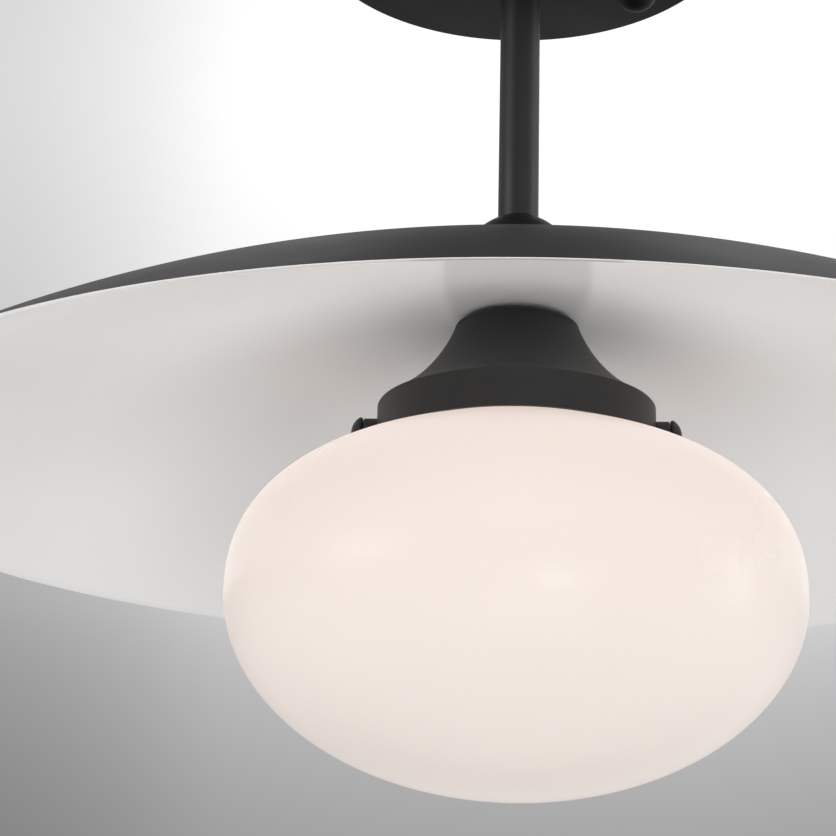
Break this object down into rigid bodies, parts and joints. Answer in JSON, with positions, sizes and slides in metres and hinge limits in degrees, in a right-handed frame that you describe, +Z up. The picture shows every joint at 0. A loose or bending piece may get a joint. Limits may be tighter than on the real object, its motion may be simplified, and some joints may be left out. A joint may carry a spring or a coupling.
{
  "type": "semi flush ceiling light",
  "caption": "Ceiling light with a round canopy, a straight stem, a wide shallow black shade with a white inside, and a bell holder with a flattened opal glass globe.",
  "frame": {"origin": "on the stem's axis, in the plane of the ceiling, at the top of the crossbar and the canopy's rim", "axes": "+X along the crossbar and through both ball nuts, +Z up, away from the room"},
  "size_m": [0.4064, 0.4064, 0.3003],
  "materials": {
    "black_paint": "satin black paint",
    "white_paint": "gloss white paint, inside of the shade",
    "opal_glass": "polished opal glass, warm white",
    "zinc_steel": "zinc plated",
    "green_screw": "green dyed zinc",
    "socket_metal": "bright drawn",
    "porcelain": "glazed white",
    "nickel_shell": "nickel plated",
    "brass": "plain",
    "lamp_insulator": "black glass",
    "solder": "soft solder",
    "frosted_glass": "frosted white"
  },
  "bodies": {
    "light": {"crossbar": "zinc_steel", "ground_screw": "green_screw", "canopy_screw_left": "zinc_steel", "canopy_screw_right": "zinc_steel", "canopy": "black_paint", "canopy_nipple": "zinc_steel", "canopy_lock_washer": "zinc_steel", "canopy_hex_nut": "zinc_steel", "stem": "black_paint", "stem_cap": "black_paint", "shade": "black_paint", "shade_nipple": "zinc_steel", "seat_washer": "zinc_steel", "glass_holder": "black_paint", "holder_lock_washer": "zinc_steel", "holder_hex_nut": "zinc_steel", "socket_cap": "socket_metal", "socket_body": "porcelain", "socket_shell": "nickel_shell", "socket_contact": "brass", "terminal_screw_brass": "brass", "terminal_screw_silver": "nickel_shell", "glass_globe": "opal_glass"},
    "thumbscrew_left": {"thumbscrew_left": "black_paint"},
    "thumbscrew_right": {"thumbscrew_right": "black_paint"},
    "ball_nut_left": {"ball_nut_left": "black_paint"},
    "ball_nut_right": {"ball_nut_right": "black_paint"},
    "lamp": {"lamp_base": "nickel_shell", "lamp_insulator": "lamp_insulator", "lamp_tip": "solder", "lamp_glass": "frosted_glass"}
  },
  "joints": [
    {"name": "thumbscrew_left_out", "type": "slide", "parent": "light", "child": "thumbscrew_left", "axis": [-0.8746, 0.4848, 0], "range_m": [0, 0.0055]},
    {"name": "thumbscrew_right_out", "type": "slide", "parent": "light", "child": "thumbscrew_right", "axis": [0.8746, -0.4848, 0], "range_m": [0, 0.0055]},
    {"name": "ball_nut_left_down", "type": "slide", "parent": "light", "child": "ball_nut_left", "axis": [0, 0, -1], "range_m": [0, 0.009]},
    {"name": "ball_nut_right_down", "type": "slide", "parent": "light", "child": "ball_nut_right", "axis": [0, 0, -1], "range_m": [0, 0.009]},
    {"name": "lamp_down", "type": "slide", "parent": "light", "child": "lamp", "axis": [0, 0, -1], "range_m": [0, 0.022]}
  ]
}
